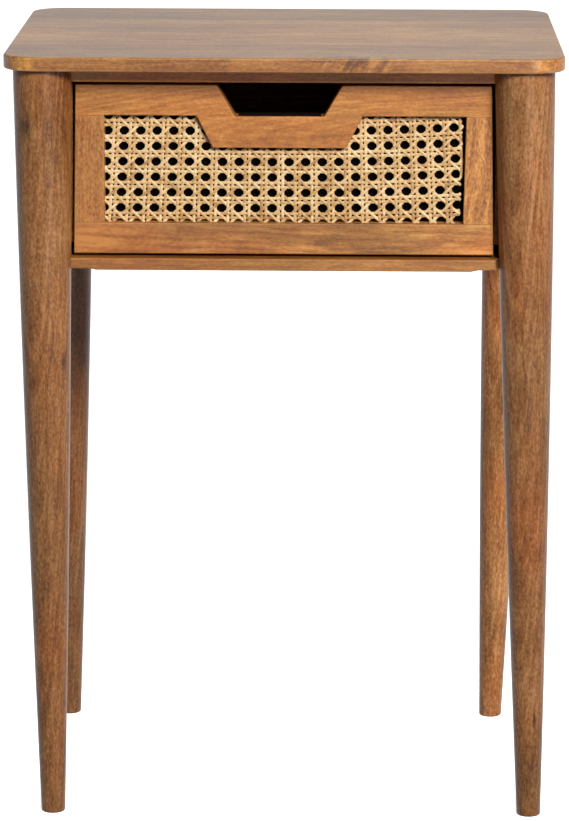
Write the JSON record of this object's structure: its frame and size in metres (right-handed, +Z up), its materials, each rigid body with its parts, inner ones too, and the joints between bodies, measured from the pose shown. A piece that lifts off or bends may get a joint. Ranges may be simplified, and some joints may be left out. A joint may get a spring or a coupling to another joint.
{
  "type": "nightstand",
  "caption": "Nightstand on round tapered legs with a thin rounded top and a cane-fronted drawer that opens by a finger notch.",
  "frame": {"origin": "on the floor, under the middle of the top", "axes": "+X to the right seen from the front, -Y towards the front where the drawer opens, +Z up"},
  "size_m": [0.45, 0.35, 0.635],
  "materials": {
    "top_wood": "satin oiled hardwood",
    "leg_wood": "satin lacquered turned hardwood",
    "case_wood": "satin lacquered hardwood",
    "drawer_wood": "satin lacquered hardwood",
    "inner_wood": "unfinished planed hardwood",
    "plywood": "sanded plywood",
    "black_board": "matt black stained board",
    "cane": "natural cane skin, woven",
    "dowel_wood": "raw turned dowel",
    "screw_steel": "zinc plated, passivated"
  },
  "bodies": {
    "carcass": {"table_top": "top_wood", "leg_front_left": "leg_wood", "leg_front_right": "leg_wood", "leg_rear_left": "leg_wood", "leg_rear_right": "leg_wood", "side_panel_left": "case_wood", "side_panel_right": "case_wood", "back_panel": "case_wood", "bottom_panel": "case_wood", "front_top_rail": "case_wood", "drawer_guide_left": "inner_wood", "drawer_guide_right": "inner_wood", "top_cleat_left": "inner_wood", "top_cleat_right": "inner_wood", "drawer_runner_left": "inner_wood", "drawer_runner_right": "inner_wood", "drawer_stop_left": "inner_wood", "drawer_stop_right": "inner_wood", "top_screws": "screw_steel", "cleat_screws": "screw_steel", "guide_screws": "screw_steel", "top_rail_dowels": "dowel_wood", "bottom_panel_dowels": "dowel_wood"},
    "drawer": {"drawer_top_rail": "drawer_wood", "drawer_bottom_rail": "drawer_wood", "drawer_stile_left": "drawer_wood", "drawer_stile_right": "drawer_wood", "cane_webbing": "cane", "bead_bottom": "inner_wood", "bead_right": "inner_wood", "bead_top_right": "inner_wood", "bead_bar_right": "inner_wood", "bead_bar_bottom": "inner_wood", "bead_bar_left": "inner_wood", "bead_top_left": "inner_wood", "bead_left": "inner_wood", "drawer_inner_front": "black_board", "drawer_side_left": "inner_wood", "drawer_side_right": "inner_wood", "drawer_back": "inner_wood", "drawer_lug_left": "inner_wood", "drawer_lug_right": "inner_wood", "drawer_bottom": "plywood", "drawer_front_screws": "screw_steel", "drawer_box_screws": "screw_steel", "drawer_bottom_screws": "screw_steel", "drawer_frame_dowels": "dowel_wood"}
  },
  "joints": [
    {"name": "drawer_slide", "type": "slide", "parent": "carcass", "child": "drawer", "axis": [0, -1, 0], "range_m": [0, 0.195]}
  ]
}
